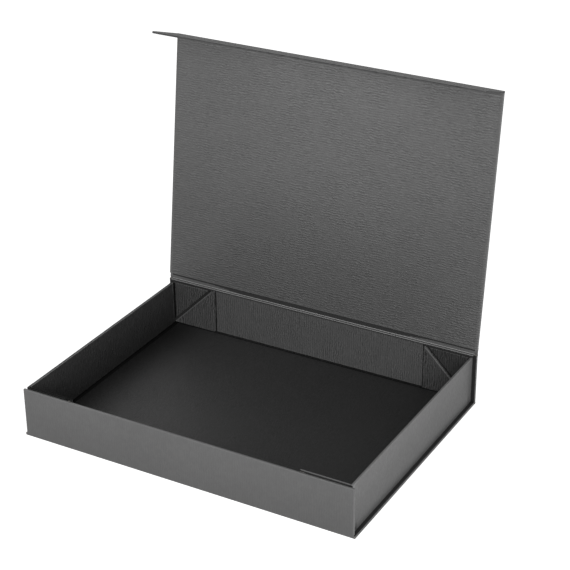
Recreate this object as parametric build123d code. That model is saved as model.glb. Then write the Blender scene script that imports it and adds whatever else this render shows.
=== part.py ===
from build123d import *
import os
from math import cos, radians, sin, sqrt

# Collapsible clamshell book box, in millimetres.
#
# The outer case is five greyboards in one paper wrap: front panel, base, spine, lid and closing flap.
# A tray stands on the base: two side walls, whose ends turn the corners as pairs of gusset boards,
# creased along the diagonal so that the side walls can fold in and the case can lie flat.
#
# Frame: +Z up, +X along the spine, the front panel at -Y. The origin is the middle of the base's
# underside. The lid stands open, leaning back.

# ---- Driving dimensions: the case --------------------------------------------------------------
case_width = 330.0
base_depth = 241.0
front_height = 47.2
front_inset = 1.4
flap_length = 46.0
case_board = 1.8
paper = 0.2
turn_in = 15.0
lining_margin = 3.0
black_lining_margin = 0.6
fold_radius = 0.5
lid_lean = 7.2
flap_rise = 19.0
hinge_gutter = 5.2
flap_gutter = 1.6

# ---- Driving dimensions: the tray --------------------------------------------------------------
wall_top = 48.6
wall_board = 1.8
side_overhang = 3.9
inner_panel_board = 1.6
inner_panel_foot = 1.4
inner_front_drop = 1.6
gusset_land = 2.4
crease_width = 2.4
corner_crease = 1.1
liner_board = 1.8

# ---- Driving dimensions: the closure -----------------------------------------------------------
magnet_radius = 6.0
magnet_thickness = 1.5
magnet_side_offset = 100.0
magnet_height = 26.0

# ---- Clearances --------------------------------------------------------------------------------
seat_gap = 0.3
lid_back_gap = 0.4
flap_front_gap = 0.4
panel_joint_gap = 0.6
magnet_pocket_gap = 0.1
through = 1.0

# ---- Thicknesses of the made-up panels ---------------------------------------------------------
case_rim = case_board + 2 * paper
case_panel = case_rim + paper
wall_panel = wall_board + 2 * paper
glued_gusset_board = wall_panel - paper
inner_panel = inner_panel_board + paper

# ---- Heights and faces that the pieces share ---------------------------------------------------
half_depth = base_depth / 2
half_width = case_width / 2
floor_top = case_panel + liner_board + paper
gusset_foot = floor_top + seat_gap
lid_seat = wall_top + seat_gap
lid_closed_top = lid_seat + case_panel
spine_top = lid_closed_top - seat_gap
front_width = case_width - 2 * front_inset
wall_outer = half_width - side_overhang
wall_inner = wall_outer - wall_panel
case_inner = half_depth - case_panel
wall_end = case_inner - wall_panel - corner_crease
gusset_height = wall_top - gusset_foot
half_crease = crease_width / sqrt(2)
gusset_width = gusset_height + half_crease + gusset_land
inner_back_face = case_inner - inner_panel
inner_panel_half = wall_outer - gusset_width - panel_joint_gap
inner_front_top = front_height - inner_front_drop

# ---- Lid and flap: lengths, and the places they turn about -------------------------------------
lid_back_closed = inner_back_face - lid_back_gap
flap_outer_closed = half_depth + flap_front_gap + case_panel
lid_length = lid_back_closed + flap_outer_closed
lean = radians(lid_lean)
rise = radians(flap_rise)
lid_along = Vector(0, sin(lean), cos(lean))
lid_inward = Vector(0, -cos(lean), sin(lean))
flap_inward = Vector(0, -sin(rise), -cos(rise))
spine_corner = Vector(0, half_depth, spine_top)
lid_heel_open = spine_corner + lid_along * hinge_gutter
flap_corner = lid_heel_open + lid_along * lid_length

# ---- Planes that the panels are drawn on: outer face at 0, inward along +Z ---------------------
base_plane = Plane(origin=(0, -half_depth, 0), x_dir=(1, 0, 0), z_dir=(0, 0, 1))
spine_plane = Plane(origin=(0, half_depth, 0), x_dir=(1, 0, 0), z_dir=(0, -1, 0))
front_plane = Plane(origin=(0, -half_depth, 0), x_dir=(-1, 0, 0), z_dir=(0, 1, 0))
lid_plane = Plane(origin=lid_heel_open, x_dir=(1, 0, 0), z_dir=lid_inward)
flap_plane = Plane(origin=flap_corner, x_dir=(1, 0, 0), z_dir=flap_inward)

nodes = {}


def add(name, shape, plane=None):
    """Keep a finished piece under its name, moved onto the plane it was drawn on."""
    nodes[name] = shape if plane is None else plane.location * shape


def block(x_low, x_high, y_low, y_high, z_low, z_high):
    """A box given by its two corners."""
    size = (x_high - x_low, y_high - y_low, z_high - z_low)
    middle = ((x_high + x_low) / 2, (y_high + y_low) / 2, (z_high + z_low) / 2)
    return Pos(*middle) * Box(*size)


def middle_block(width, y_low, y_high, z_low, z_high):
    """A box centred on the width."""
    return block(-width / 2, width / 2, y_low, y_high, z_low, z_high)


def round_folds(shape, open_faces):
    """Round the paper's folds: every edge but those round an open end."""
    sharp = [edge for face in open_faces for edge in face.edges()]
    folded = [edge for edge in shape.edges() if not any(edge.is_same(other) for other in sharp)]
    return fillet(folded, fold_radius)


def case_board_shape(width, start, end):
    """The greyboard of a case panel, between its two ends."""
    return middle_block(width - 2 * paper, start, end, paper, paper + case_board)


def case_wrap_shape(width, sheet_start, board_start, sheet_end, board_end, end_turned):
    """The wrap of a case panel: outer sheet, folded side edges and turn-ins, bare at each crease."""
    envelope = middle_block(width, sheet_start, sheet_end, 0, case_rim)
    open_faces = [envelope.faces().sort_by(Axis.Y)[0]]
    if not end_turned:
        open_faces.append(envelope.faces().sort_by(Axis.Y)[-1])
    envelope = round_folds(envelope, open_faces)
    far = sheet_end + through
    near = sheet_start - through
    core_end = board_end if end_turned else far
    window_end = sheet_end - turn_in if end_turned else far
    wrap = envelope - middle_block(width - 2 * paper, near, core_end, paper, paper + case_board)
    wrap -= middle_block(width - 2 * turn_in, near, window_end, paper, case_rim + through)
    wrap -= middle_block(width + through, near, board_start, paper, case_rim + through)
    if not end_turned:
        wrap -= middle_block(width + through, board_end, far, paper, case_rim + through)
    return wrap


def case_lining_shape(width, margin, board_start, board_end, end_turned):
    """The lining of a case panel: it fills the window of the turn-ins and covers their edges."""
    fill_end = board_end + paper - turn_in if end_turned else board_end
    sheet_end = board_end + paper - margin if end_turned else board_end
    fill = middle_block(width - 2 * turn_in, board_start, fill_end, paper + case_board, case_rim)
    sheet = middle_block(width - 2 * margin, board_start, sheet_end, case_rim, case_panel)
    return fill + sheet


def magnet_discs(plane_height, face_depth, extra=0.0):
    """The pair of closing magnets, on a panel's plane at a height up it and a depth into it."""
    discs = None
    for side in (-1, 1):
        disc = Cylinder(magnet_radius + extra, magnet_thickness)
        place = Pos(side * magnet_side_offset, plane_height, face_depth + magnet_thickness / 2)
        discs = place * disc if discs is None else discs + place * disc
    return discs


def make_base():
    """Base panel, open to a crease at the front and at the back."""
    end = base_depth
    add("base_board", case_board_shape(case_width, seat_gap, end - seat_gap), base_plane)
    wrap = case_wrap_shape(case_width, 0, seat_gap, end, end - seat_gap, end_turned=False)
    add("base_wrap", wrap, base_plane)
    margin = black_lining_margin
    lining = case_lining_shape(case_width, margin, seat_gap, end - seat_gap, end_turned=False)
    add("base_lining", lining, base_plane)


def make_spine():
    """Spine, from the base's crease up to the lid's hinge gutter."""
    foot = case_panel + seat_gap
    head = spine_top - paper
    add("spine_board", case_board_shape(case_width, foot, head), spine_plane)
    wrap = case_wrap_shape(case_width, seat_gap, foot, spine_top, head, end_turned=False)
    add("spine_wrap", wrap, spine_plane)
    lining = case_lining_shape(case_width, black_lining_margin, foot, head, end_turned=False)
    add("spine_lining", lining, spine_plane)


def make_front():
    """Front panel, with its top edge turned in and the tray's two magnets under its outer sheet."""
    foot = case_panel + seat_gap
    head = front_height - paper
    pockets = magnet_discs(magnet_height, paper, magnet_pocket_gap)
    board = case_board_shape(front_width, foot, head) - pockets
    add("front_board", board, front_plane)
    wrap = case_wrap_shape(front_width, seat_gap, foot, front_height, head, end_turned=True)
    add("front_wrap", wrap, front_plane)
    lining = case_lining_shape(front_width, lining_margin, foot, head, end_turned=True)
    add("front_lining", lining, front_plane)
    add("front_magnets", magnet_discs(magnet_height, paper), front_plane)


def make_lid():
    """Lid, from the hinge gutter to the flap's crease."""
    end = lid_length - flap_gutter
    add("lid_board", case_board_shape(case_width, 0, end), lid_plane)
    sheet_end = lid_length - seat_gap
    wrap = case_wrap_shape(case_width, 0, 0, sheet_end, end, end_turned=False)
    add("lid_wrap", wrap, lid_plane)
    lining = case_lining_shape(case_width, lining_margin, 0, end, end_turned=False)
    add("lid_lining", lining, lid_plane)


def make_flap():
    """Closing flap, with two magnets under its lining that meet the front panel's when it is shut."""
    foot = case_panel + seat_gap
    head = flap_length - paper
    magnet_down = lid_closed_top - magnet_height
    magnet_depth = paper + case_board - magnet_thickness
    pockets = magnet_discs(magnet_down, magnet_depth, magnet_pocket_gap)
    add("flap_board", case_board_shape(case_width, foot, head) - pockets, flap_plane)
    wrap = case_wrap_shape(case_width, seat_gap, foot, flap_length, head, end_turned=True)
    add("flap_wrap", wrap, flap_plane)
    lining = case_lining_shape(case_width, lining_margin, foot, head, end_turned=True)
    add("flap_lining", lining, flap_plane)
    add("flap_magnets", magnet_discs(magnet_down, magnet_depth), flap_plane)


def make_hinge_paper():
    """Paper of the lid's hinge: wrap and lining across the gutter, and lining over the spine's top."""
    outer = middle_block(case_width, -hinge_gutter, -seat_gap, 0, paper)
    add("lid_hinge_wrap", outer, lid_plane)
    lining_width = case_width - 2 * lining_margin
    inner = middle_block(lining_width, -hinge_gutter, -seat_gap, paper, 2 * paper)
    add("lid_hinge_lining", inner, lid_plane)
    back = half_depth - paper
    ledge = middle_block(lining_width, inner_back_face, back, spine_top - paper, spine_top)
    add("spine_top_lining", ledge)


def make_floor_liner():
    """Black floor liner: a loose board in a cover sheet that folds down over its edges."""
    half_x = wall_inner - seat_gap
    half_y = case_inner - seat_gap
    envelope = block(-half_x, half_x, -half_y, half_y, case_panel, floor_top)
    envelope = round_folds(envelope, [envelope.faces().sort_by(Axis.Z)[0]])
    inside = (paper - half_x, half_x - paper, paper - half_y, half_y - paper)
    board = block(*inside, case_panel, floor_top - paper)
    add("floor_liner_board", board)
    add("floor_liner_cover", envelope - board)


def make_side_wall(name, side):
    """Side wall: a board standing on the base, wrapped over its top, faces and ends."""
    low, high = sorted((side * wall_inner, side * wall_outer))
    envelope = block(low, high, -wall_end, wall_end, case_panel, wall_top)
    envelope = round_folds(envelope, [envelope.faces().sort_by(Axis.Z)[0]])
    half = wall_end - paper
    board = block(low + paper, high - paper, -half, half, case_panel, wall_top - paper)
    add(name + "_board", board)
    add(name + "_wrap", envelope - board)


def make_inner_panel(name, plane, foot, top):
    """Board that levels a case panel between two gussets, covered on its face and edges."""
    width = 2 * inner_panel_half
    envelope = middle_block(width, foot, top, case_panel, case_panel + inner_panel)
    envelope = round_folds(envelope, [envelope.faces().sort_by(Axis.Z)[0]])
    core_width = width - 2 * paper
    board_top = case_panel + inner_panel_board
    board = middle_block(core_width, foot + paper, top - paper, case_panel, board_top)
    add(name + "_board", board, plane)
    add(name + "_wrap", envelope - board, plane)


def prism(points, low, high):
    """A flat piece with this outline, between two depths."""
    return Pos(0, 0, low) * extrude(make_face(Polyline(*points, close=True)), high - low)


def make_gusset(name, plane, side):
    """Corner gusset: a lower board glued to the case and an upper one that folds about the diagonal.

    The outline is drawn from the corner's foot: inwards along the case, and up.
    """
    high = gusset_height
    slant = paper * sqrt(2)

    def placed(points):
        return [(side * (wall_outer - inward), gusset_foot + up) for inward, up in points]

    lower = [
        (half_crease, 0),
        (gusset_width, 0),
        (gusset_width, high),
        (high + half_crease, high),
    ]
    lower_core = [
        (half_crease + slant + paper, paper),
        (gusset_width - paper, paper),
        (gusset_width - paper, high - paper),
        (high - paper + half_crease + slant, high - paper),
    ]
    envelope = prism(placed(lower), case_panel, case_panel + wall_panel)
    envelope = round_folds(envelope, [envelope.faces().sort_by(Axis.Z)[0]])
    board = prism(placed(lower_core), case_panel, case_panel + glued_gusset_board)
    add(name + "_lower_gusset_board", board, plane)
    add(name + "_lower_gusset_wrap", envelope - board, plane)

    upper = [(0, half_crease), (high - half_crease, high), (0, high)]
    upper_core = [
        (paper, paper + half_crease),
        (high - paper - half_crease, high - paper),
        (paper, high - paper),
    ]
    open_core = [
        (paper, paper + half_crease - through),
        (high - paper - half_crease + through, high - paper),
        (paper, high - paper),
    ]
    envelope = prism(placed(upper), case_panel, case_panel + wall_panel)
    diagonal = [face for face in envelope.faces() if abs(face.normal_at().X * face.normal_at().Y) > 0.1]
    envelope = round_folds(envelope, diagonal)
    board_back = case_panel + paper
    board_face = board_back + wall_board
    board = prism(placed(upper_core), board_back, board_face)
    core = prism(placed(open_core), board_back, board_face)
    add(name + "_upper_gusset_board", board, plane)
    add(name + "_upper_gusset_wrap", envelope - core, plane)


def make_all():
    """Make every piece, in the order in which the box is put together."""
    make_base()
    make_spine()
    make_front()
    make_lid()
    make_flap()
    make_hinge_paper()
    make_floor_liner()
    make_inner_panel("inner_back", spine_plane, floor_top + inner_panel_foot, spine_top - paper)
    make_inner_panel("inner_front", front_plane, floor_top + inner_panel_foot, inner_front_top)
    for side, name in ((-1, "left"), (1, "right")):
        make_side_wall(name + "_wall", side)
        make_gusset("rear_" + name, spine_plane, side)
        make_gusset("front_" + name, front_plane, -side)


make_all()
os.makedirs("parts", exist_ok=True)
for node_name, node_shape in nodes.items():
    export_step(node_shape, f"parts/{node_name}.step")
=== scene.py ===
"""Collapsible clamshell book box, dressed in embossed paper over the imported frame, in metres."""

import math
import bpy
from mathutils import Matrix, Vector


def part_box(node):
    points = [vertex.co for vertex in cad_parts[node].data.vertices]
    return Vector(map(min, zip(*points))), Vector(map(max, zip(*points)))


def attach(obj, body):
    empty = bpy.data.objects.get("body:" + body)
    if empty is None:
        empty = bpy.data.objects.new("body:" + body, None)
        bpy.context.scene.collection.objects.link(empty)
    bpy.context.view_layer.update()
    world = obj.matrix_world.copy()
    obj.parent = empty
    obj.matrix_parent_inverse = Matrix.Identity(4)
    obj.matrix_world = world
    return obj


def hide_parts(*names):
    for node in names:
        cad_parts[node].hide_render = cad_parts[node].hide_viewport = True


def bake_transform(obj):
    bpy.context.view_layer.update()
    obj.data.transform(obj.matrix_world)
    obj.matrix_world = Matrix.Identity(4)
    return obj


bl_info = {
    "name": "Clamshell book box",
    "version": (1, 0, 0),
    "blender": (4, 5, 0),
    "location": "3D View > Sidebar > Book Box",
    "description": "Dresses a collapsible book box in embossed paper, with papers over its folds",
    "category": "Object",
}

import bmesh
import bpy
from bpy.props import FloatProperty, FloatVectorProperty, PointerProperty
from mathutils import Matrix, Vector

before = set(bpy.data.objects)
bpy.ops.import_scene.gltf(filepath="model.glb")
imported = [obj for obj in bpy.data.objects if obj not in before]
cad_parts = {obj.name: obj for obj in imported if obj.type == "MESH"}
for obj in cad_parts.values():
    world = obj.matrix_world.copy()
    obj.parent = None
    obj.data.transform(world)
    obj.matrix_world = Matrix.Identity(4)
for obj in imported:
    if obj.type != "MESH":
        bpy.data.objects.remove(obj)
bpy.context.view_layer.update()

MM = 0.001

# ---- Places read from the frame: each box is (lowest corner, highest corner) ----
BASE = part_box("base_wrap")
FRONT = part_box("front_wrap")
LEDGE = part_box("spine_top_lining")
RIGHT_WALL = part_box("right_wall_wrap")
BACK_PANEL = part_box("inner_back_wrap")
FRONT_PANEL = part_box("inner_front_wrap")
LOWER_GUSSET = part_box("rear_right_lower_gusset_wrap")
UPPER_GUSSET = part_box("rear_right_upper_gusset_wrap")

# ---- Sizes of the make ----
PAPER = 0.2 * MM
THIN_PAPER = 0.03 * MM
CASE_PANEL = 2.4 * MM
LINING_MARGIN = 3.0 * MM
HINGE_GUTTER = 5.2 * MM
LID_LENGTH = 239.2 * MM
LID_LEAN = math.radians(7.2)
FLAP_RISE = math.radians(19.0)
FLAP_TURN = FLAP_RISE - math.pi / 2

HALF_WIDTH = BASE[1].x
HALF_DEPTH = BASE[1].y
SPINE_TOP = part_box("spine_wrap")[1].z
FLOOR_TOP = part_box("floor_liner_cover")[1].z
WALL_OUTER = RIGHT_WALL[1].x
WALL_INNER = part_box("right_wall_board")[0].x - PAPER
WALL_END = RIGHT_WALL[1].y
WALL_TOP = RIGHT_WALL[1].z
CASE_INNER = UPPER_GUSSET[1].y
GUSSET_FACE = UPPER_GUSSET[0].y
GUSSET_FOOT = LOWER_GUSSET[0].z
LOWER_END = LOWER_GUSSET[0].x
HALF_CREASE = UPPER_GUSSET[0].z - GUSSET_FOOT

SIDES = (("left", -1), ("right", 1))
ENDS = (("front", -1), ("rear", 1))

# ---- Directions in the case's cross-section, as (y, z) pairs ----
LID_ALONG = Vector((math.sin(LID_LEAN), math.cos(LID_LEAN)))
LID_INWARD = Vector((-math.cos(LID_LEAN), math.sin(LID_LEAN)))
FLAP_ALONG = Vector((-math.cos(FLAP_RISE), math.sin(FLAP_RISE)))
FLAP_INWARD = Vector((-math.sin(FLAP_RISE), -math.cos(FLAP_RISE)))
SPINE_CORNER = Vector((HALF_DEPTH, SPINE_TOP))
LID_HEEL = SPINE_CORNER + LID_ALONG * HINGE_GUTTER
FLAP_CORNER = LID_HEEL + LID_ALONG * LID_LENGTH

# ---- Directions in which a paper's tone changes ----
LEFTWARD, RIGHTWARD, REARWARD, UPWARD = (-1, 0, 0), (1, 0, 0), (0, 1, 0), (0, 0, 1)
LID_UP, FLAP_DOWN = (0, *LID_ALONG), (0, *FLAP_INWARD)

# ---- Ribs per metre on each axis, for each way in which the paper is laid ----
RIBS = 430.0
LEVEL_RIBS = (0.0, 0.0, RIBS)
CROSS_RIBS = (0.0, RIBS, 0.0)
UPRIGHT_RIBS = (RIBS, 0.0, 0.0)
FLOOR_RIBS = (RIBS * 1.9, 0.0, 0.0)
LID_RIBS = (0.0, *(LID_ALONG * RIBS))
FLAP_RIBS = (0.0, *(FLAP_ALONG * RIBS))

# ---- Finishes: (share of the emboss depth, contrast of the painted light and shade between ribs and ground) ----
CASE_WRAP = (1.0, 0.09)
FRONT_WRAP = (1 / 3, 0.05)
LID_WRAP = (1.3, 0.16)
WALL_WRAP = (1 / 4, 0.04)
GUSSET_WRAP = (1.6, 0.7)
PANEL_WRAP = (1.3, 0.36)
GREY_LINING = (1.6, 0.34)
MATT_LINING = (1 / 3, 0.1)
FLOOR_COVER = (0.6, 0.75)
FOLDED = (1 / 6, 0.02)
ARRIS = (1 / 6, 0.06)
JOINT = (1 / 6, 0.05)
WEAR = 0.6
WORN_TONE = 1.6
GLOSS = 0.5
MATT = 0.1

# ---- Plain papers of the folds and joints, and papers of painted shade and highlight: (colour, share of it, ribs, finish, gloss) ----
PLAIN_PAPERS = {
    "fold wrap": ("wrap", 1.0, LEVEL_RIBS, FOLDED, GLOSS),
    # Painted shade in the crease of the flap's fold.
    "flap crease": ("wrap", 0.55, LEVEL_RIBS, FOLDED, MATT),
    "fold lining": ("lining", 1.0, LEVEL_RIBS, FOLDED, GLOSS),
    # Painted shade in the hinge's groove and under the ledge.
    "groove lining": ("lining", 0.36, LEVEL_RIBS, FOLDED, MATT),
    # Painted highlights on the arrises of the hinge and the ledge.
    "worn arris": ("lining", 3.0, LEVEL_RIBS, ARRIS, GLOSS),
    "bright arris": ("lining", 4.8, LEVEL_RIBS, ARRIS, GLOSS),
    # Painted highlights on the gussets' edges.
    "left gusset arris": ("tray", 2.3, UPRIGHT_RIBS, JOINT, GLOSS),
    "right gusset arris": ("tray", 3.0, UPRIGHT_RIBS, JOINT, GLOSS),
    # Black papers of painted shade in the creases, gaps and joints of the tray, and on the floor by
    # its walls.
    "crease paper": ("floor_cover", 1.0, UPRIGHT_RIBS, JOINT, MATT),
    "left crease paper": ("floor_cover", 1.6, UPRIGHT_RIBS, JOINT, MATT),
    "foot paper": ("floor_cover", 0.3, UPRIGHT_RIBS, JOINT, 0.05),
    "joint paper": ("floor_cover", 0.15, UPRIGHT_RIBS, JOINT, 0.03),
}

# ---- The studio, in metres and degrees ----
FLOOR_REACH = 9.0
FLOOR_DROP = 0.2 * MM
LAMP_WIDTH = 1.8
LAMP_AIM = Vector((0.0, 0.0, 0.08))
KEY_LAMP = (1.05, -1.85, 1.1)
SIDE_LAMP = (2.3, -0.2, 0.9)
SIDE_LAMP_SHARE = 0.08
CAMERA_PLACE = (0.65851, -1.09968, 0.78643)
CAMERA_YAW, CAMERA_PITCH, CAMERA_ROLL = 29.608, 26.933, -0.491
SENSOR_WIDTH = 36.0


# ---- Paths and meshes ----
def lid_point(origin, along, inward):
    """A (y, z) point that lies along the lid and towards its lining from another."""
    return origin + LID_ALONG * along + LID_INWARD * inward


def flap_point(along, inward):
    """A (y, z) point that lies along the flap and towards its lining from its fold."""
    return FLAP_CORNER + FLAP_ALONG * along + FLAP_INWARD * inward


def rounded(points, times=3):
    """A path with its corners cut again and again, which rounds them."""
    points = [Vector(point) for point in points]
    for _ in range(times):
        cut = [points[0]]
        for a, b in zip(points, points[1:]):
            cut += [a * 0.75 + b * 0.25, a * 0.25 + b * 0.75]
        points = cut + [points[-1]]
    return points


def left_of(path, distance):
    """The path moved to its left by a distance."""
    moved = []
    for index, point in enumerate(path):
        run = path[min(index + 1, len(path) - 1)] - path[max(index - 1, 0)]
        run.normalize()
        moved.append(point + Vector((-run.y, run.x)) * distance)
    return moved


def new_object(name, data):
    """An object of the scene that shows this data."""
    piece = bpy.data.objects.new(name, data)
    bpy.context.scene.collection.objects.link(piece)
    return piece


def closed_sheet(name, face, back, lined=False):
    """A thin solid between two grids of points. Where lined, its back takes the second material."""
    mesh = bmesh.new()
    front_rows = [[mesh.verts.new(point) for point in row] for row in face]
    back_rows = [[mesh.verts.new(point) for point in row] for row in back]
    rows, columns = len(face), len(face[0])
    for i in range(rows - 1):
        for k in range(columns - 1):
            for grid in (front_rows, back_rows):
                cell = (grid[i][k], grid[i][k + 1], grid[i + 1][k + 1], grid[i + 1][k])
                mesh.faces.new(cell).material_index = int(lined and grid is back_rows)
    rim = [(0, k) for k in range(columns)]
    rim += [(i, columns - 1) for i in range(1, rows)]
    rim += [(rows - 1, k) for k in range(columns - 2, -1, -1)]
    rim += [(i, 0) for i in range(rows - 2, 0, -1)]
    for (i, k), (m, n) in zip(rim, rim[1:] + rim[:1]):
        mesh.faces.new((front_rows[i][k], front_rows[m][n], back_rows[m][n], back_rows[i][k]))
    bmesh.ops.recalc_face_normals(mesh, faces=mesh.faces)
    data = bpy.data.meshes.new(name)
    mesh.to_mesh(data)
    mesh.free()
    for polygon in data.polygons:
        polygon.use_smooth = True
    data.set_sharp_from_angle(angle=math.radians(50))
    return new_object(name, data)


def width_strip(name, path, start, end, thickness, stations=12):
    """A paper strip across the case, from start to end: a (y, z) path, thick to its left."""
    places = [start + (end - start) * i / stations for i in range(stations + 1)]
    face, back = (
        [[(x, point.x, point.y) for point in line] for x in places]
        for line in (path, left_of(path, thickness))
    )
    return closed_sheet(name, face, back)


def flat_strip(name, corners, lift, material, slot, body):
    """A thin paper on four corners that rides on a body. Its lift is from its back to its face."""
    first, second, third, fourth = (Vector(corner) for corner in corners)
    face = [[a.lerp(b, i / 4) for i in range(5)] for a, b in ((first, second), (fourth, third))]
    back = [[point - Vector(lift) for point in row] for row in face]
    strip = closed_sheet(name, face, back)
    cover(strip, slot, material)
    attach(strip, body)


def level_corners(near, far, front, rear, height):
    """The corners of a level rectangle."""
    return [(x, y, height) for x, y in ((near, front), (far, front), (far, rear), (near, rear))]


def upright_corners(near, far, depth, low, high):
    """The corners of an upright rectangle that faces along the case's depth."""
    return [(x, depth, z) for x, z in ((near, low), (far, low), (far, high), (near, high))]


# ---- Shader groups ----
def put(tree, socket, value):
    """Give a socket its value: another socket to link, a number or a tuple."""
    if isinstance(value, bpy.types.NodeSocket):
        tree.links.new(value, socket)
    else:
        socket.default_value = value


def new_node(tree, kind, *values, **settings):
    """A shader node with these settings. Its inputs take sockets or plain values, in order."""
    node = tree.nodes.new("ShaderNode" + kind)
    for name, setting in settings.items():
        setattr(node, name, setting)
    for socket, value in zip(node.inputs, values):
        put(tree, socket, value)
    return node


def math_node(tree, operation, *values, clamp=False):
    """A Math node's result."""
    return new_node(tree, "Math", *values, operation=operation, use_clamp=clamp).outputs[0]


def vector_node(tree, operation, *values, scale=None):
    """A Vector Math node's result."""
    node = new_node(tree, "VectorMath", *values, operation=operation)
    if scale is not None:
        put(tree, node.inputs["Scale"], scale)
    return node.outputs["Value" if operation == "DOT_PRODUCT" else "Vector"]


def smooth_range(tree, value, start, end, low=0.0, high=1.0, ease="SMOOTHSTEP"):
    """A value brought from one range to another."""
    values = (value, start, end, low, high)
    return new_node(tree, "MapRange", *values, interpolation_type=ease).outputs["Result"]


def noise(tree, vector, scale, detail=2.0, roughness=0.5):
    """A Noise Texture's value on a vector. Its second input has no use in three dimensions."""
    return new_node(tree, "TexNoise", vector, 0.0, scale, detail, roughness).outputs[0]


def mix_colour(tree, mask, first, second, blend="MIX"):
    """A colour between two, by a mask or a number. Each colour is a socket or three numbers."""
    node = new_node(tree, "Mix", mask, data_type="RGBA", blend_type=blend)
    # The sockets for colours come after those for numbers and vectors.
    for socket, colour in zip(node.inputs[6:8], (first, second)):
        put(tree, socket, (*colour, 1.0) if isinstance(colour, tuple) else colour)
    return node.outputs[2]


def new_group(name, inputs, outputs):
    """An empty shader group: itself, the sockets that bring its values in, and those out."""
    group = bpy.data.node_groups.new(name, "ShaderNodeTree")
    for label, default in inputs.items():
        kind = "NodeSocketFloat" if isinstance(default, float) else "NodeSocketVector"
        socket = group.interface.new_socket(name=label, in_out="INPUT", socket_type=kind)
        socket.default_value = default
    for label in outputs:
        group.interface.new_socket(name=label, in_out="OUTPUT", socket_type="NodeSocketFloat")
    given, result = group.nodes.new("NodeGroupInput"), group.nodes.new("NodeGroupOutput")
    return group, given.outputs, result.inputs


def use_group(tree, name, *values):
    """The results of a shared group placed in a material. Its inputs take the values in order."""
    group = bpy.data.node_groups.get(name) or GROUPS[name](name)
    return new_node(tree, "Group", *values, node_tree=group).outputs


def build_ribbed_emboss(name):
    """Wandering ribs pressed into the paper, over its fibre. Across is ribs per metre by axis. Its
    Tone is painted light and shade on the ribs, over the fibre's own tone.
    """
    inputs = {"Position": (0, 0, 0), "Across": (0, 0, RIBS), "Wander": 12.5}
    group, given, result = new_group(name, inputs, ["Height", "Tone"])
    place, across = given["Position"], given["Across"]
    drift = math_node(group, "SUBTRACT", noise(group, place, 150.0, 2.5, 0.6), 0.5)
    drift = math_node(group, "MULTIPLY", drift, given["Wander"])
    count = vector_node(group, "DOT_PRODUCT", place, across)
    phase = math_node(group, "MULTIPLY_ADD", count, math.tau, drift)
    ribs = smooth_range(group, math_node(group, "SINE", phase), -1.0, 1.0)
    stretch = vector_node(group, "ADD", across, (280.0, 280.0, 280.0))
    dashes = noise(group, vector_node(group, "MULTIPLY", place, stretch), 1.0, 1.0)
    dashes = smooth_range(group, dashes, 0.4, 0.56, 0.05, 1.1)
    patches = smooth_range(group, noise(group, place, 45.0), 0.36, 0.6, 0.55, 1.0)
    patches = math_node(group, "MULTIPLY", patches, dashes)
    fibre = noise(group, place, 1300.0, 2.0, 0.6)
    pressed = math_node(group, "MULTIPLY", ribs, patches)
    height = math_node(group, "MULTIPLY_ADD", fibre, 0.25, pressed)
    # Painted light and shade: the tone is lighter on the ribs' crests and darker in their hollows.
    tone = math_node(group, "MULTIPLY", math_node(group, "SUBTRACT", ribs, 0.5), patches)
    tone = math_node(group, "MULTIPLY_ADD", fibre, 1.1, tone)
    tone = math_node(group, "SUBTRACT", tone, 0.05, clamp=True)
    group.links.new(height, result["Height"])
    group.links.new(tone, result["Tone"])
    return group


def build_arris_wear(name):
    """A broken mask along the edges of a box between two corners, after a turn about the X axis."""
    origin = (0, 0, 0)
    inputs = {"Position": origin, "Turn": 0.0, "Low": origin, "High": origin, "Reach": 1.0 * MM}
    group, given, result = new_group(name, inputs, ["Mask"])
    turn = new_node(group, "VectorRotate", given["Position"], rotation_type="X_AXIS")
    group.links.new(given["Turn"], turn.inputs["Angle"])
    place = turn.outputs["Vector"]
    above = vector_node(group, "SUBTRACT", place, given["Low"])
    below = vector_node(group, "SUBTRACT", given["High"], place)
    depth = vector_node(group, "MINIMUM", above, below)
    a, b, c = new_node(group, "SeparateXYZ", depth).outputs
    lesser = math_node(group, "MINIMUM", a, b)
    greater = math_node(group, "MAXIMUM", a, b)
    second = math_node(group, "MAXIMUM", lesser, math_node(group, "MINIMUM", greater, c))
    broken = noise(group, given["Position"], 160.0, 3.0, 0.65)
    reach = math_node(group, "MULTIPLY", given["Reach"], broken)
    share = math_node(group, "DIVIDE", second, reach)
    group.links.new(smooth_range(group, share, 2.4, 0.6), result["Mask"])
    return group


def build_along_mask(name):
    """A mask that rises from Start to End along a direction, or in Face Mask along both ways."""
    inputs = {"Position": (0, 0, 0), "Direction": (1, 0, 0), "Start": 0.0, "End": 1.0 * MM}
    group, given, result = new_group(name, inputs, ["Mask"])
    along = vector_node(group, "DOT_PRODUCT", given["Position"], given["Direction"])
    if name == "Face Mask":
        along = math_node(group, "ABSOLUTE", along)
    group.links.new(smooth_range(group, along, given["Start"], given["End"]), result["Mask"])
    return group


def build_handling(name):
    """Soft clouds of wear and dust that break up a large paper face."""
    group, given, result = new_group(name, {"Position": (0, 0, 0), "Cloud Scale": 14.0}, ["Mask"])
    scaled = vector_node(group, "SCALE", given["Position"], scale=given["Cloud Scale"])
    clouds = smooth_range(group, noise(group, scaled, 1.0, 4.0, 0.6), 0.3, 0.7, 0.0, 0.45)
    mottle = smooth_range(group, noise(group, scaled, 15.0, 2.0, 0.6), 0.34, 0.66, 0.0, 0.55)
    group.links.new(math_node(group, "ADD", clouds, mottle), result["Mask"])
    return group


GROUPS = {
    "Ribbed Emboss": build_ribbed_emboss,
    "Arris Wear": build_arris_wear,
    "Face Mask": build_along_mask,
    "Slope": build_along_mask,
    "Handling": build_handling,
}


# ---- Materials ----
def darker(colour, share):
    """A colour times a share."""
    return tuple(part * share for part in colour)


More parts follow.
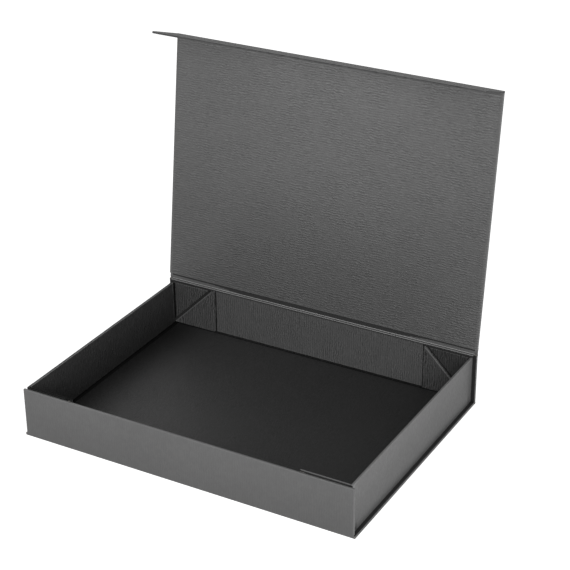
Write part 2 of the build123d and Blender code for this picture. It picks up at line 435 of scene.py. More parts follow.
def ribbed(tree, tone, colour, contrast):
    """A colour that darkens and lightens with the emboss: painted shade and light on the ribs."""
    return mix_colour(tree, tone, darker(colour, 1 - contrast), darker(colour, 1 + contrast))


def new_material(name):
    """A material with nodes: itself, its tree and its shader."""
    material = bpy.data.materials.new(name)
    material.use_nodes = True
    return material, material.node_tree, material.node_tree.nodes["Principled BSDF"]


def connect_finish(tree, shader, tone, roughness, height=None, distance=0.0, strength=1.0):
    """Link a colour and a roughness to the shader, and a height as its bump."""
    tree.links.new(tone, shader.inputs["Base Color"])
    tree.links.new(roughness, shader.inputs["Roughness"])
    if height is not None:
        bump = new_node(tree, "Bump", strength, distance)
        tree.links.new(height, bump.inputs["Height"])
        tree.links.new(bump.outputs["Normal"], shader.inputs["Normal"])


def paper_material(name, colour, ribs, finish, worn=None, faces=(), gloss=GLOSS, shades=()):
    """Embossed paper. worn is (turn, low, high) of the box whose edges are worn.

    faces lists other tones on some faces: (direction, start, end, colour, contrast) each, and
    may add how many times deeper the emboss is there. shades lists soft changes of tone that are
    painted light and shade: the share that the tone ends at, then one or more
    (direction, start, end) slopes that lead there.
    """
    depth, contrast = finish
    material, tree, shader = new_material(name)
    place = new_node(tree, "TexCoord").outputs["Object"]
    emboss = use_group(tree, "Ribbed Emboss", place, ribs)
    tone, height = ribbed(tree, emboss["Tone"], colour, contrast), emboss["Height"]
    for direction, start, end, other, other_contrast, *deeper in faces:
        mask = use_group(tree, "Face Mask", place, direction, start, end)["Mask"]
        tone = mix_colour(tree, mask, tone, ribbed(tree, emboss["Tone"], other, other_contrast))
        if deeper:
            relief = smooth_range(tree, mask, 0.0, 1.0, 1.0, deeper[0])
            height = math_node(tree, "MULTIPLY", height, relief)
    if worn:
        wear = use_group(tree, "Arris Wear", place, *worn)["Mask"]
        wear = math_node(tree, "MULTIPLY", wear, WEAR)
        tone = mix_colour(tree, wear, tone, darker(colour, WORN_TONE))
    # Painted light and shade: each shade scales the tone along its slopes.
    for end_share, *slopes in shades:
        reached = None
        for direction, start, end in slopes:
            slope = use_group(tree, "Slope", place, direction, start, end)["Mask"]
            reached = slope if reached is None else math_node(tree, "MULTIPLY", reached, slope)
        shade = smooth_range(tree, reached, 0.0, 1.0, 1.0, end_share, ease="LINEAR")
        tone = vector_node(tree, "SCALE", tone, scale=shade)
    clouds = use_group(tree, "Handling", place)["Mask"]
    dust = mix_colour(tree, clouds, (0.93, 0.93, 0.93), (1.055, 1.055, 1.055))
    tone = mix_colour(tree, 1.0, tone, dust, blend="MULTIPLY")
    rough = 0.66 - gloss * 0.28
    roughness = smooth_range(tree, emboss["Height"], 0.0, 1.0, rough, rough - 0.1)
    shader.inputs["Specular IOR Level"].default_value = gloss
    distance = bpy.context.scene.bookbox_papers.emboss * depth
    connect_finish(tree, shader, tone, roughness, height, distance)
    return material


def board_material(name, colour):
    """Grey pressed board: flecks of waste paper in a matt ground."""
    material, tree, shader = new_material(name)
    place = new_node(tree, "TexCoord").outputs["Object"]
    flecks = smooth_range(tree, noise(tree, place, 900.0, 3.0, 0.7), 0.35, 0.68)
    layers = vector_node(tree, "MULTIPLY", place, (300.0, 300.0, 2600.0))
    plies = smooth_range(tree, noise(tree, layers, 1.0, 1.0), 0.35, 0.65)
    tone = mix_colour(tree, flecks, darker(colour, 0.78), darker(colour, 1.18))
    tone = mix_colour(tree, math_node(tree, "MULTIPLY", plies, 0.3), tone, darker(colour, 0.7))
    roughness = smooth_range(tree, flecks, 0.0, 1.0, 0.82, 0.95)
    connect_finish(tree, shader, tone, roughness, plies, 0.08 * MM, strength=0.6)
    return material


def magnet_material(name):
    """Plated disc magnets, finely brushed and a little scuffed."""
    material, tree, shader = new_material(name)
    shader.inputs["Metallic"].default_value = 1.0
    place = new_node(tree, "TexCoord").outputs["Object"]
    scuffs = smooth_range(tree, noise(tree, place, 600.0, 4.0, 0.7), 0.4, 0.62)
    tone = mix_colour(tree, scuffs, (0.5, 0.5, 0.5), (0.66, 0.66, 0.66))
    connect_finish(tree, shader, tone, smooth_range(tree, scuffs, 0.0, 1.0, 0.42, 0.24))
    return material


def named_material(name):
    """The material of this name. A plain paper is made when it is first asked for."""
    material = bpy.data.materials.get(name)
    if material is None:
        colour, share, ribs, finish, gloss = PLAIN_PAPERS[name]
        colour = darker(getattr(bpy.context.scene.bookbox_papers, colour), share)
        material = paper_material(name, colour, ribs, finish, gloss=gloss)
    return material


def cover(piece, slot, *materials):
    """Give a new piece its materials by name. The slot, a finish's slot in the record, is not used.
    """
    for name in materials:
        piece.data.materials.append(named_material(name))


def dress(nodes, material):
    """Give CAD nodes this material in place of their own."""
    for name in nodes:
        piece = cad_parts[name]
        piece.data.materials.clear()
        piece.data.materials.append(material)


def dress_paper(node, colour, ribs, finish, turn=None, **others):
    """Dress a CAD node in a paper of its own, with worn edges if its turn to square is given."""
    worn = None
    if turn is not None:
        matrix = Matrix.Rotation(turn, 3, "X")
        points = [matrix @ vertex.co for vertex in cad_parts[node].data.vertices]
        worn = (turn, *(tuple(end(axis) for axis in zip(*points)) for end in (min, max)))
    material = paper_material(node.replace("_", " "), colour, ribs, finish, worn=worn, **others)
    dress([node], material)


# ---- What a user would change ----
def colour_setting(name, description, default):
    """The colour of a paper or board."""
    return FloatVectorProperty(
        name=name, description=description, subtype="COLOR", default=default, min=0.0, max=1.0
    )


def number_setting(name, description, default, low, high, unit="NONE"):
    """A number between two limits, in metres or watts where it has such a unit."""
    return FloatProperty(
        name=name, description=description, default=default, min=low, max=high, unit=unit
    )


class BookBoxPapers(bpy.types.PropertyGroup):
    """Colours and emboss of the papers."""

    wrap: colour_setting("Wrap", "Colour of the outer wrap", (0.11, 0.11, 0.11))
    lining: colour_setting("Lining", "Colour of the lid's and flap's lining", (0.102, 0.102, 0.102))
    tray: colour_setting("Tray", "Colour of the paper inside the tray", (0.052, 0.052, 0.052))
    floor_cover: colour_setting(
        "Floor cover", "Colour of the black paper on the floor, base and spine", (0.02, 0.02, 0.02)
    )
    board: colour_setting("Greyboard", "Colour of the bare board", (0.21, 0.2, 0.185))
    emboss: number_setting(
        "Emboss depth", "Depth of the ribs in the paper", 0.12 * MM, 0.0, 1.0 * MM, "LENGTH"
    )


class BookBoxFolds(bpy.types.PropertyGroup):
    """Sizes of the papers that cross the folds."""

    gutter_dip: number_setting(
        "Gutter dip", "Depth of the wrap in the hinge gutter", 0.5 * MM, 0.0, 1.5 * MM, "LENGTH"
    )
    overlap: number_setting(
        "Overlap", "Reach of a fold's paper past the fold", 1.4 * MM, 0.2 * MM, 4.0 * MM, "LENGTH"
    )
    proud: number_setting(
        "Proud", "Height of a fold's paper above the wrap", 0.04 * MM, 0.0, 0.2 * MM, "LENGTH"
    )


class BookBoxStudio(bpy.types.PropertyGroup):
    """Light and camera."""

    sky: number_setting("Sky", "Strength of the light from all round", 0.45, 0.0, 2.0)
    key: number_setting("Key lamp", "Power of the large soft lamp", 31.0, 0.0, 200.0, "POWER")
    lens: number_setting("Lens", "Focal length in mm on a 36 mm frame", 104.6, 20.0, 300.0)


# ---- The case ----
class BOOKBOX_OT_case_panels(bpy.types.Operator):
    """Dress the case: base, spine, front, lid and flap, and the magnets under their paper"""

    bl_idname = "bookbox.case_panels"
    bl_label = "Case panels"

    def execute(self, context):
        papers = context.scene.bookbox_papers
        dress_case_wraps(papers.wrap)
        dress_grey_linings(papers.lining)
        dress_black_linings(papers.floor_cover)
        boards = [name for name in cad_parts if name.endswith("_board")]
        dress(boards, board_material("greyboard", papers.board))
        dress(["front_magnets", "flap_magnets"], magnet_material("magnet plating"))
        return {"FINISHED"}


def dress_case_wraps(wrap):
    """The wraps: dark at the ends of base and spine, smooth in front, coarse on lid and flap;
    painted light and shade on the front, painted shade on the flap's lower edge.
    """
    end = HALF_WIDTH - 0.75 * MM
    dark_ends = (RIGHTWARD, end, end + 0.25 * MM, darker(wrap, 0.28), 0.09)
    dress_paper("base_wrap", wrap, CROSS_RIBS, CASE_WRAP, turn=0.0, faces=[dark_ends])
    dress_paper("spine_wrap", wrap, LEVEL_RIBS, CASE_WRAP, turn=0.0, faces=[dark_ends])
    end, top = FRONT[1].x, FRONT[1].z
    # The front is painted darker at its foot and lighter towards its top, with a painted highlight
    # along both its ends, painted shade towards its right and painted light towards its left.
    dress_paper(
        "front_wrap",
        darker(wrap, 0.94),
        UPRIGHT_RIBS,
        FRONT_WRAP,
        turn=0.0,
        faces=[
            (UPWARD, 4 * MM, top, darker(wrap, 1.1), 0.05),
            (RIGHTWARD, end - 0.3 * MM, end - 0.1 * MM, darker(wrap, 1.35), 0.05),
        ],
        shades=[(0.935, (RIGHTWARD, 40 * MM, 150 * MM)), (1.03, (LEFTWARD, 60 * MM, 150 * MM))],
    )
    dress_paper("lid_wrap", wrap, LID_RIBS, LID_WRAP, turn=LID_LEAN)
    skin = abs(FLAP_CORNER.dot(FLAP_INWARD))
    # Painted shade along the flap's lower free edge, past which the wrap's own colour comes back.
    painted_shade_edge = [
        (FLAP_DOWN, skin - 0.95 * MM, skin - 1.15 * MM, darker(wrap, 0.12), 0.09),
        (FLAP_DOWN, skin - 2.25 * MM, skin - 2.35 * MM, wrap[:], 0.09),
    ]
    looks = {"turn": FLAP_TURN, "faces": painted_shade_edge, "gloss": MATT}
    dress_paper("flap_wrap", wrap, FLAP_RIBS, LID_WRAP, **looks)


def dress_grey_linings(lining):
    """The grey linings, with painted light over the middle of the lid and along its top, and
    painted shade near its heel and on its right.
    """
    heel, top = LID_HEEL.dot(LID_ALONG), FLAP_CORNER.dot(LID_ALONG)
    middle = ((LEFTWARD, 160 * MM, 10 * MM), (RIGHTWARD, 150 * MM, 20 * MM))
    dress_paper(
        "lid_lining",
        darker(lining, 0.84),
        LID_RIBS,
        GREY_LINING,
        # Painted light: lighter up the lid, and lighter still just under the flap, where the flap's
        # shadow falls.
        faces=[
            (LID_UP, heel + 20 * MM, heel + 225 * MM, darker(lining, 1.18), 0.34),
            (LID_UP, top - 16 * MM, top - 2 * MM, darker(lining, 1.36), 0.34),
            (LID_UP, top - 9 * MM, top - 2 * MM, darker(lining, 1.6), 0.34),
        ],
        # Painted light over the lid's middle and towards its top, and painted shade near its heel
        # and on its right.
        shades=[
            (1.13, (LID_UP, heel + 40 * MM, heel + 120 * MM), *middle),
            (1.1, (LID_UP, top - 60 * MM, top - 10 * MM), *middle),
            (0.93, (LID_UP, heel + 60 * MM, heel + 10 * MM), *middle),
            (0.94, (RIGHTWARD, 120 * MM, HALF_WIDTH), (LID_UP, heel + 60 * MM, heel + 140 * MM)),
        ],
    )
    dress_paper("flap_lining", lining, FLAP_RIBS, GREY_LINING)
    dress_paper("front_lining", lining, LEVEL_RIBS, GREY_LINING)
    dress_paper("spine_top_lining", darker(lining, 0.75), LEVEL_RIBS, FOLDED)


def dress_black_linings(black):
    """The black papers: the floor, darkest by its side walls, with painted shade and light across
    it, and the base's and spine's lining.
    """
    dress_paper(
        "floor_liner_cover",
        black,
        FLOOR_RIBS,
        FLOOR_COVER,
        # Painted shade: darker close to both side walls.
        faces=[(RIGHTWARD, WALL_INNER - 9 * MM, WALL_INNER - 1 * MM, darker(black, 0.6), 0.26)],
        # Painted shade by the left wall, towards the right and towards the rear, and painted light
        # left of the middle.
        shades=[
            (0.15, (LEFTWARD, WALL_INNER - 56 * MM, WALL_INNER - 5 * MM)),
            (0.72, (RIGHTWARD, -10 * MM, 150 * MM)),
            (0.92, (REARWARD, -20 * MM, 100 * MM), (RIGHTWARD, -60 * MM, 60 * MM)),
            (1.2, (LEFTWARD, -40 * MM, 60 * MM), (LEFTWARD, 140 * MM, 95 * MM)),
        ],
    )
    matt = paper_material("black lining", black, UPRIGHT_RIBS, MATT_LINING, gloss=0.12)
    dress(["base_lining", "spine_lining"], matt)


# ---- The tray ----
class BOOKBOX_OT_tray(bpy.types.Operator):
    """Dress the tray: side walls, corner gussets and inner panels"""

    bl_idname = "bookbox.tray"
    bl_label = "Tray"

    def execute(self, context):
        papers = context.scene.bookbox_papers
        black = papers.floor_cover[:]
        for side_name, outward in (("left", LEFTWARD), ("right", RIGHTWARD)):
            dress_wall(side_name, outward, darker(papers.wrap, 0.98), black)
        dress_gussets(papers.tray, black)
        for node, panel in (("inner_back_wrap", BACK_PANEL), ("inner_front_wrap", FRONT_PANEL)):
            # Painted shade: each inner panel is darker just below its top, under the arris there.
            brow_shade = (0.65, (UPWARD, panel[1].z - 2.0 * MM, panel[1].z - 0.9 * MM))
            colour = darker(papers.tray, 1.57)
            dress_paper(node, colour, UPRIGHT_RIBS, PANEL_WRAP, turn=0.0, shades=[brow_shade])
        return {"FINISHED"}


def dress_wall(side_name, outward, wrap, black):
    """A side wall: grey outside, black and more deeply ribbed inside, with painted light that makes
    it lighter upwards and painted shade towards its rear and its inner foot.
    """
    skin, edge = WALL_INNER + 0.1 * MM, 0.35 * MM
    inside, outside = (outward, skin + edge, skin), (outward, skin, skin + edge)
    # Painted light and shade: lighter upwards on both faces, darker towards the rear outside and
    # towards the foot inside.
    shades = [
        (1.28, (UPWARD, 18 * MM, WALL_TOP), outside),
        (0.85, (REARWARD, -70 * MM, 110 * MM), outside),
        (1.8, (UPWARD, 18 * MM, WALL_TOP), inside),
        (0.62, (UPWARD, 26 * MM, 2 * MM), inside),
    ]
    lip = skin + edge
    if side_name == "left":
        # The top edge of the left wall is black as well.
        lip = skin + 1.8 * MM
        shades.append((0.2, (UPWARD, WALL_TOP - 0.3 * MM, WALL_TOP - 0.1 * MM), outside))
    lined = [(RIGHTWARD, lip, lip - edge, black, 0.4, 9.0)]
    looks = {"turn": 0.0, "faces": lined, "shades": shades}
    dress_paper(side_name + "_wall_wrap", wrap, CROSS_RIBS, WALL_WRAP, **looks)


def dress_gussets(tray, black):
    """The gussets: coarse paper with painted light and shade, black at the walls and on the front
    ones' tops and backs as painted shade.
    """
    # Black faces of painted shade: the front gussets' backs and tops, and each upper gusset beside
    # its wall.
    back = (REARWARD, GUSSET_FACE + 1.1 * MM, GUSSET_FACE + 1.2 * MM, black, 0.1)
    wall_shade = (RIGHTWARD, WALL_INNER - 2.1 * MM, WALL_INNER - 1.8 * MM, black, 0.1)
    top = (UPWARD, WALL_TOP - 0.35 * MM, WALL_TOP - 0.1 * MM, black, 0.1)
    # Each triangle's share of the tray colour makes lit and shaded copies of one paper: painted
    # light on the rear lower ones, painted shade on the rear right upper one.
    for name, share, faces, gloss in (
        ("rear_left_lower", 1.17, (), GLOSS),
        ("rear_left_upper", 1.0, (wall_shade,), GLOSS),
        ("rear_right_lower", 1.08, (), GLOSS),
        ("rear_right_upper", 0.6, (wall_shade,), GLOSS),
        ("front_left_lower", 1.0, (top, back), 0.05),
        ("front_left_upper", 1.0, (top, back, wall_shade), 0.05),
        ("front_right_lower", 1.0, (top, back), 0.3),
        ("front_right_upper", 1.0, (top, back, wall_shade), 0.3),
    ):
        node, colour = name + "_gusset_wrap", darker(tray, share)
        dress_paper(node, colour, UPRIGHT_RIBS, GUSSET_WRAP, faces=faces, gloss=gloss)


# ---- The folds of the case ----
class BOOKBOX_OT_lid_hinge(bpy.types.Operator):
    """Make the papers of the lid's hinge: the wrap pressed into the gutter, and the lining in it"""

    bl_idname = "bookbox.lid_hinge"
    bl_label = "Lid hinge"

    def execute(self, context):
        folds = context.scene.bookbox_folds
        proud, overlap, dip = folds.proud, folds.overlap, folds.gutter_dip
        outer = [
            SPINE_CORNER + Vector((proud, -overlap)),
            SPINE_CORNER + Vector((proud, 0)),
            lid_point(SPINE_CORNER, HINGE_GUTTER / 2, dip * 1.3),
            lid_point(LID_HEEL, 0, -proud),
            lid_point(LID_HEEL, overlap, -proud),
        ]
        wrap = width_strip("lid_hinge_wrap_paper", rounded(outer), -HALF_WIDTH, HALF_WIDTH, PAPER)
        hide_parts("lid_hinge_wrap")
        cover(wrap, "grey_wrap_paper", "fold wrap")
        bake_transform(wrap)

        ledge_rear = Vector((HALF_DEPTH - PAPER, SPINE_TOP))
        floor, lip, tuck = dip + 2 * PAPER, CASE_PANEL + proud, -0.12 * MM
        inner = [
            ledge_rear + Vector((-1.6 * MM, proud)),
            ledge_rear + Vector((-0.5 * MM, proud)),
            lid_point(SPINE_CORNER, 1.2 * MM, floor),
            lid_point(LID_HEEL, -0.5 * MM, floor),
            lid_point(LID_HEEL, tuck, 1.2 * MM),
            lid_point(LID_HEEL, tuck, lip),
            lid_point(LID_HEEL, tuck + 1.2 * MM, lip),
        ]
        half = HALF_WIDTH - LINING_MARGIN
        lining = width_strip("lid_hinge_lining_paper", rounded(inner), -half, half, -PAPER / 2, 60)
        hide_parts("lid_hinge_lining")
        cover(lining, "grey_lining_paper", "fold lining", "groove lining", "worn arris")
        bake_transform(lining)
        # The painted shade in the groove narrows towards its ends, and the arris in front of it
        # carries a painted highlight.
        for polygon in lining.data.polygons:
            along = (Vector(polygon.center.yz) - SPINE_CORNER).dot(LID_ALONG)
            outward = abs(polygon.center.x) / HALF_WIDTH
            closing = min(max(0.0, outward - 0.5) * 12 * MM, 2.5 * MM)
            polygon.material_index = int(0.6 * MM + closing < along < HINGE_GUTTER - 0.3 * MM)
            if along < 0.5 * MM and polygon.center.y > ledge_rear.x - 0.7 * MM:
                polygon.material_index = 2
        make_ledge_papers()
        return {"FINISHED"}


def make_ledge_papers():
    """The lining turned down over the spine's top, deeper beside the inner panel, with a painted
    highlight on its arris and painted shade on its turned-down part.
    """
    top = Vector((LEDGE[0].y - 0.02 * MM, SPINE_TOP + 0.02 * MM))
    beside = Vector((GUSSET_FACE + 0.9 * MM, WALL_TOP + 0.15 * MM))
    above = top - Vector((0.02 * MM, 0.9 * MM))
    near, far = BACK_PANEL[1].x, LEDGE[1].x
    gap = 0.1 * MM
    for name, start, end, foot in (
        ("left_ledge_paper", -far, -near - gap, beside),
        ("middle_ledge_paper", -near, near, above),
        ("right_ledge_paper", near + gap, far, beside),
    ):
        drop = rounded([top + Vector((1.2 * MM, 0)), top, foot], 4)
        lip = width_strip(name, drop, start, end, PAPER / 2, 6)
        cover(lip, "grey_lining_paper", "bright arris", "groove lining")
        # The turned-down part takes the painted shade, the rest the painted highlight of the arris.
        for polygon in lip.data.polygons:
            polygon.material_index = int(polygon.center.z < top.y - 0.25 * MM)
        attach(lip, "back")


class BOOKBOX_OT_flap_fold(bpy.types.Operator):
    """Make the papers of the fold between lid and flap"""

    bl_idname = "bookbox.flap_fold"
    bl_label = "Flap fold"

    def execute(self, context):
        folds = context.scene.bookbox_folds
        proud, overlap, bend = folds.proud, folds.overlap, 0.5 * MM
        face = CASE_PANEL + proud
        lip = face - 0.4 * MM
        outer = fold_path(
            [(-overlap, -proud), (-bend, -proud)], -proud, [(bend, -proud), (overlap, -proud)]
        )
        inner = fold_path(
            [(-4.1 * MM, face), (-1.6 * MM, face), (-1.4 * MM, lip)],
            0.5 * MM,
            [(2.5 * MM, lip), (2.7 * MM, face), (5.2 * MM, face)],
        )
        lined = HALF_WIDTH - LINING_MARGIN
        # The wrap over the fold is a darker paper: painted shade in the crease.
        for name, path, half, thickness, slot, material in (
            ("wrap", outer, HALF_WIDTH, PAPER, "grey_wrap_paper", "flap crease"),
            ("lining", inner, lined, -PAPER / 4, "grey_lining_paper", "fold lining"),
        ):
            paper = width_strip("flap_fold_" + name + "_paper", path, -half, half, thickness)
            cover(paper, slot, material)
            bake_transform(paper)
        return {"FINISHED"}


def fold_path(before, depth, after):
    """A rounded path over the flap's fold: points on the lid, the fold's depth, then the flap."""
    points = [lid_point(FLAP_CORNER, *point) for point in before]
    points.append(FLAP_CORNER + (LID_INWARD + FLAP_INWARD) * depth)
    return rounded(points + [flap_point(*point) for point in after])


class BOOKBOX_OT_case_creases(bpy.types.Operator):
    """Make the creases of the wrap between the base and its upright panels"""

    bl_idname = "bookbox.case_creases"
    bl_label = "Case creases"

    def execute(self, context):
        folds = context.scene.bookbox_folds
        out, overlap, inward, up = -folds.proud, folds.overlap, 0.4 * MM, 0.5 * MM
        bend = ((overlap, out), (inward, out), (out, out), (out, up), (out, overlap))
        for body, side, half in (("back", 1, HALF_WIDTH), ("front", -1, FRONT[1].x)):
            path = rounded([(side * (HALF_DEPTH - step), rise) for step, rise in bend])
            crease = width_strip(body + "_crease_paper", path, -half, half, side * PAPER / 2)
            cover(crease, "grey_wrap_paper", "fold wrap")
            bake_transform(crease)
        return {"FINISHED"}


# ---- The corners of the tray ----
class BOOKBOX_OT_corner_creases(bpy.types.Operator):
    """Make the creased paper along each gusset's diagonal, black for painted shade in its groove"""

    bl_idname = "bookbox.corner_creases"
    bl_label = "Corner creases"

    def execute(self, context):
        across, up = 8, 16
        high = WALL_TOP - GUSSET_FOOT - 1.5 * MM
        rows = []
        for i in range(across + 1):
            slant = HALF_CREASE * (2 * i / across - 1)
            foot = max(0.0, slant)
            rises = [foot + (high - foot) * k / up for k in range(up + 1)]
            rows.append([(WALL_OUTER - rise + slant, GUSSET_FOOT + rise) for rise in rises])
        depth = CASE_INNER - PAPER
        for carrier, end_name, away in (("back", "rear", 1), ("front", "front", -1)):
            for side_name, side in SIDES:
                face, back = (
                    [[(side * x, away * y, z) for x, z in row] for row in rows]
                    for y in (depth, depth + 0.12 * MM)
                )
                corner = end_name + "_" + side_name
                crease = closed_sheet(corner + "_corner_crease_paper", face, back)
                # The crease paper is real, but black: painted shade in the groove between the
                # triangles.
                material = "left crease paper" if side < 0 else "crease paper"
                cover(crease, "grey_wrap_paper", material)
                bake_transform(crease)
        return {"FINISHED"}


class BOOKBOX_OT_corner_bands(bpy.types.Operator):
    """Make the paper that turns each upright corner of the tray, from side wall to gusset, with a
    black back as painted shade in the gap behind it
    """

    bl_idname = "bookbox.corner_bands"
    bl_label = "Corner bands"

    def execute(self, context):
        proud = context.scene.bookbox_folds.proud
        start, end = WALL_END - 5.0 * MM, CASE_INNER - 0.05 * MM
        profile = [
            (WALL_OUTER + 0.01 * MM, start),
            (WALL_OUTER + proud, start + 1.5 * MM),
            (WALL_OUTER + proud, end - 0.5 * MM),
            (WALL_OUTER + proud - 0.05 * MM, end - 0.1 * MM),
            (WALL_OUTER - 0.5 * MM, end),
        ]
        profile = rounded(profile, 2)
        heights = (2.6 * MM, 14.0 * MM, 26.0 * MM, 38.0 * MM, WALL_TOP - 0.5 * MM)
        rows = [[(p.x, p.y, z) for p in profile] for z in heights]
        top = WALL_TOP + proud
        for inset, drop in ((0.0, 0.2 * MM), (0.12 * MM, 0.05 * MM), (0.5 * MM, 0.0)):
            rows.append([(p.x - inset, p.y, top - drop) for p in profile])
        rows.append([(WALL_INNER + 0.3 * MM, p.y, top) for p in profile])
        for side_name, side in SIDES:
            for end_name, away in ENDS:
                face, back = (
                    [[(side * (x - sunk), away * y, z - sunk) for x, y, z in row] for row in rows]
                    for sunk in (0.0, THIN_PAPER)
                )
                name = end_name + "_" + side_name + "_corner_band"
                # The band's back is black: painted shade in the gap between wall and gusset.
                band = closed_sheet(name, face, back, lined=True)
                cover(band, "grey_wrap_paper", side_name + " wall wrap", "crease paper")
                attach(band, side_name + "_wall")
        return {"FINISHED"}


class BOOKBOX_OT_joint_papers(bpy.types.Operator):
    """Make the dark papers of painted shade in the tray's joints and on the floor by its walls, and
    the painted highlights on the gussets' edges
    """

    bl_idname = "bookbox.joint_papers"
    bl_label = "Joint papers"

    def execute(self, context):
        # Two strips of painted shadow on the floor along each side wall, darkest at the wall.
        for side_name, side in SIDES:
            for part, start, end, material in (
                ("_foot_paper", 0.0, 1.7 * MM, "joint paper"),
                ("_foot_edge_paper", 1.7 * MM, 4.4 * MM, "foot paper"),
            ):
                near, far = side * (WALL_INNER - start), side * (WALL_INNER - end)
                lay_on_floor(side_name + part, near, far, -GUSSET_FACE, GUSSET_FACE, material)
        for end_name, away in ENDS:
            # Painted shade along the foot of each inner panel.
            x, y = WALL_INNER - 1.1 * MM, away * GUSSET_FACE
            lay_on_floor(end_name + "_foot_paper", -x, x, y, y - away * 0.8 * MM, "joint paper")
            for side_name, side in SIDES:
                make_corner_papers(end_name + "_" + side_name, away, side)
                if end_name == "front":
                    make_front_gusset_papers("front_" + side_name, side)
        return {"FINISHED"}


def lay_on_floor(name, near, far, front, rear, material):
    """A dark paper of painted shade on the floor liner, where a wall meets it."""
    corners = level_corners(near, far, front, rear, FLOOR_TOP + 0.04 * MM)
    flat_strip(name, corners, (0, 0, THIN_PAPER), material, "black_lining_paper", "base")


def make_corner_papers(corner, away, side):
    """One corner's papers: painted shade at its joint to the wall and at its seam to the panel, and
    a painted highlight along its diagonal.
    """
    carrier, black = "back" if away > 0 else "front", "black_lining_paper"
    face, behind = away * (GUSSET_FACE - 0.05 * MM), (0, -away * THIN_PAPER, 0)
    # Painted shade where the gusset meets the wall.
    near, far = side * (WALL_INNER - 0.1 * MM), side * (WALL_INNER - 1.5 * MM)
    foot = UPPER_GUSSET[0].z + 2.0 * MM
    joint = upright_corners(near, far, face, foot, WALL_TOP - 0.3 * MM)
    joint[1] = (far, face, foot + 1.4 * MM)
    flat_strip(corner + "_joint_paper", joint, behind, "joint paper", black, corner + "_corner")

    # Painted shade along the seam to the panel.
    panel = BACK_PANEL if away > 0 else FRONT_PANEL
    seam = (panel[0].y if away > 0 else panel[1].y) - away * 0.04 * MM
    low, high = panel[0].z + 0.1 * MM, panel[1].z - 0.6 * MM
    start, end, material = LOWER_END - 0.1 * MM, LOWER_END - 0.8 * MM, "crease paper"
    if side < 0:
        # A left gusset's paper runs on over the panel's end, so its seam stands further in.
        start, end, material = LOWER_END - 2.1 * MM, LOWER_END - 3.2 * MM, "joint paper"
        run_on = upright_corners(-LOWER_END - 0.1 * MM, -start, seam, low, high)
        gusset = corner.replace("_", " ") + " lower gusset wrap"
        flat_strip(corner + "_edge_paper", run_on, behind, gusset, "grey_wrap_paper", carrier)
    corners = upright_corners(side * start, side * end, seam, low, high)
    flat_strip(corner + "_seam_paper", corners, behind, material, black, carrier)

    # A painted highlight on the lower triangle's diagonal edge.
    inset, width, arris = 2.5 * MM, 1.6 * MM, "right gusset arris"
    if side < 0:
        inset, width, arris = 2.2 * MM, 1.1 * MM, "left gusset arris"
    low, high = 0.6 * MM, 43.0 * MM
    corners = [
        (side * (WALL_OUTER - up - inset - across), face, GUSSET_FOOT + up)
        for up, across in ((low, 0), (low, width), (high, width), (high, 0))
    ]
    flat_strip(corner + "_diagonal_paper", corners, behind, arris, "grey_wrap_paper", carrier)


def make_front_gusset_papers(corner, side):
    """The papers on the back and top of a front gusset, which stands above the front panel: painted
    shade on its back, and on its top a painted highlight on the right and painted shade on the
    left.
    """
    x, rear = side * LOWER_END, -CASE_INNER - 0.03 * MM
    low, high = FRONT[1].z + 0.05 * MM, WALL_TOP + 0.03 * MM
    # Painted shade on the gusset's back, in the gap behind the front panel.
    corners = upright_corners(x, x + side * 3.3 * MM, rear, low, high)
    corners[2] = (x + side * 1.9 * MM, rear, high)
    name, lift, slot = corner + "_back_paper", (0, -THIN_PAPER, 0), "black_lining_paper"
    flat_strip(name, corners, lift, "crease paper", slot, "front")
    # On its top, a painted highlight on the right gusset and painted shade on the left.
    places = [side * (LOWER_END + (WALL_INNER - LOWER_END) * i / 24) for i in range(25)]
    edges = (-GUSSET_FACE - 0.8 * MM, -GUSSET_FACE - 2.1 * MM)
    face, under = ([[(x, y, z) for x in places] for y in edges] for z in (high, high - 0.02 * MM))
    ridge = closed_sheet(corner + "_top_paper", face, under)
    cover(ridge, "grey_wrap_paper", "right gusset arris" if side > 0 else "joint paper")
    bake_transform(ridge)


# ---- The studio ----
class BOOKBOX_OT_stage(bpy.types.Operator):
    """Set the floor, the light and the camera"""

    bl_idname = "bookbox.stage"
    bl_label = "Stage"

    def execute(self, context):
        studio, scene = context.scene.bookbox_studio, context.scene
        scene.view_settings.view_transform = "Standard"
        make_floor()
        make_world(scene, studio.sky)
        make_lamp("key lamp", KEY_LAMP, studio.key)
        make_lamp("side lamp", SIDE_LAMP, studio.key * SIDE_LAMP_SHARE)
        make_camera(scene, studio.lens)
        return {"FINISHED"}


def seen_rays(tree):
    """One for a ray that shows the white surroundings: from the camera, a gloss or a glass."""
    path = new_node(tree, "LightPath").outputs
    seen = math_node(tree, "MAXIMUM", path["Is Camera Ray"], path["Is Glossy Ray"])
    return math_node(tree, "MAXIMUM", seen, path["Is Transmission Ray"])


def make_floor():
    """A pale floor that looks white and keeps the object's shadow."""
    corners = level_corners(-FLOOR_REACH, FLOOR_REACH, -FLOOR_REACH, FLOOR_REACH, -FLOOR_DROP)
    data = bpy.data.meshes.new("studio_floor")
    data.from_pydata(corners, [], [(0, 1, 2, 3)])
    floor = new_object("studio_floor", data)
    material, tree, shader = new_material("studio floor")
    shader.inputs["Base Color"].default_value = (0.8, 0.8, 0.8, 1.0)
    shader.inputs["Roughness"].default_value = 0.9
    shader.inputs["Specular IOR Level"].default_value = 0.0
    shader.inputs["Emission Color"].default_value = (1.0, 1.0, 1.0, 1.0)
    camera_rays = new_node(tree, "LightPath").outputs["Is Camera Ray"]
    glow = math_node(tree, "MULTIPLY", seen_rays(tree), 0.4)
    glow = math_node(tree, "MULTIPLY_ADD", camera_rays, 0.35, glow)
    tree.links.new(glow, shader.inputs["Emission Strength"])
    data.materials.append(material)


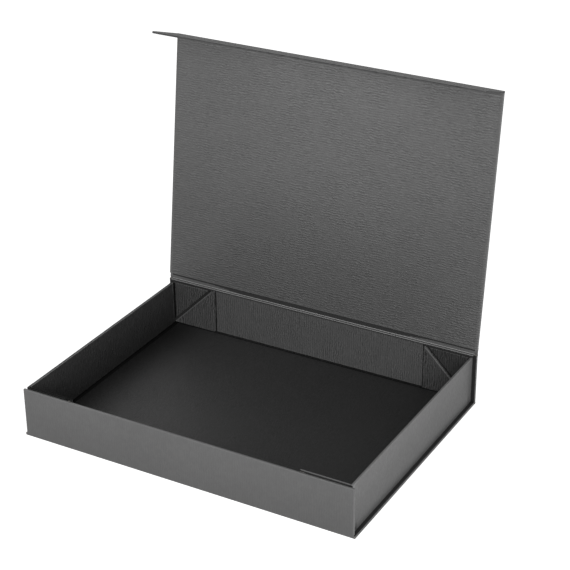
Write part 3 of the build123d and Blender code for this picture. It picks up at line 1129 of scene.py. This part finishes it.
def make_world(scene, sky):
    """Even light from all round, white where it is seen."""
    world = bpy.data.worlds.new("studio")
    scene.world = world
    world.use_nodes = True
    tree = world.node_tree
    background = tree.nodes["Background"]
    background.inputs["Color"].default_value = (1.0, 1.0, 1.0, 1.0)
    strength = smooth_range(tree, seen_rays(tree), 0.0, 1.0, sky, 1.0)
    tree.links.new(strength, background.inputs["Strength"])


def make_lamp(name, place, power):
    """A wide soft lamp that faces the object."""
    data = bpy.data.lights.new(name, "AREA")
    data.shape = "RECTANGLE"
    data.size = LAMP_WIDTH
    data.size_y = LAMP_WIDTH / 2
    data.energy = power
    lamp = new_object(name, data)
    lamp.location = place
    lamp.rotation_euler = (LAMP_AIM - Vector(place)).to_track_quat("-Z", "Y").to_euler()


def make_camera(scene, lens):
    """The camera, in front of the right-hand corner and above."""
    data = bpy.data.cameras.new("camera")
    data.lens = lens
    data.sensor_width = SENSOR_WIDTH
    data.sensor_fit = "HORIZONTAL"
    place = Matrix.Translation(CAMERA_PLACE)
    for degrees, axis in ((CAMERA_YAW, "Z"), (90.0 - CAMERA_PITCH, "X"), (CAMERA_ROLL, "Z")):
        place = place @ Matrix.Rotation(math.radians(degrees), 4, axis)
    camera = new_object("camera", data)
    camera.matrix_world = place
    scene.camera = camera


# ---- The add-on ----
class BOOKBOX_PT_sidebar(bpy.types.Panel):
    """The steps of the box and what can be changed in them"""

    bl_idname = "BOOKBOX_PT_sidebar"
    bl_label = "Book Box"
    bl_space_type = "VIEW_3D"
    bl_region_type = "UI"
    bl_category = "Book Box"

    def draw(self, context):
        column = self.layout.column()
        for group in SETTINGS:
            settings = getattr(context.scene, group)
            for name in settings.__annotations__:
                column.prop(settings, name)
        for operator in OPERATORS:
            column.operator(operator.bl_idname)


SETTINGS = {
    "bookbox_papers": BookBoxPapers,
    "bookbox_folds": BookBoxFolds,
    "bookbox_studio": BookBoxStudio,
}
OPERATORS = (
    BOOKBOX_OT_case_panels,
    BOOKBOX_OT_tray,
    BOOKBOX_OT_lid_hinge,
    BOOKBOX_OT_flap_fold,
    BOOKBOX_OT_case_creases,
    BOOKBOX_OT_corner_creases,
    BOOKBOX_OT_corner_bands,
    BOOKBOX_OT_joint_papers,
    BOOKBOX_OT_stage,
)


def register():
    for name, settings in SETTINGS.items():
        bpy.utils.register_class(settings)
        setattr(bpy.types.Scene, name, PointerProperty(type=settings))
    for item in (*OPERATORS, BOOKBOX_PT_sidebar):
        bpy.utils.register_class(item)


def unregister():
    for item in (BOOKBOX_PT_sidebar, *reversed(OPERATORS)):
        bpy.utils.unregister_class(item)
    for name, settings in SETTINGS.items():
        delattr(bpy.types.Scene, name)
        bpy.utils.unregister_class(settings)


def main():
    """Register the add-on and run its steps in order."""
    register()
    bpy.ops.bookbox.case_panels()
    bpy.ops.bookbox.tray()
    bpy.ops.bookbox.lid_hinge()
    bpy.ops.bookbox.flap_fold()
    bpy.ops.bookbox.case_creases()
    bpy.ops.bookbox.corner_creases()
    bpy.ops.bookbox.corner_bands()
    bpy.ops.bookbox.joint_papers()
    bpy.ops.bookbox.stage()
    bpy.context.view_layer.update()


if __name__ == "__main__":
    main()
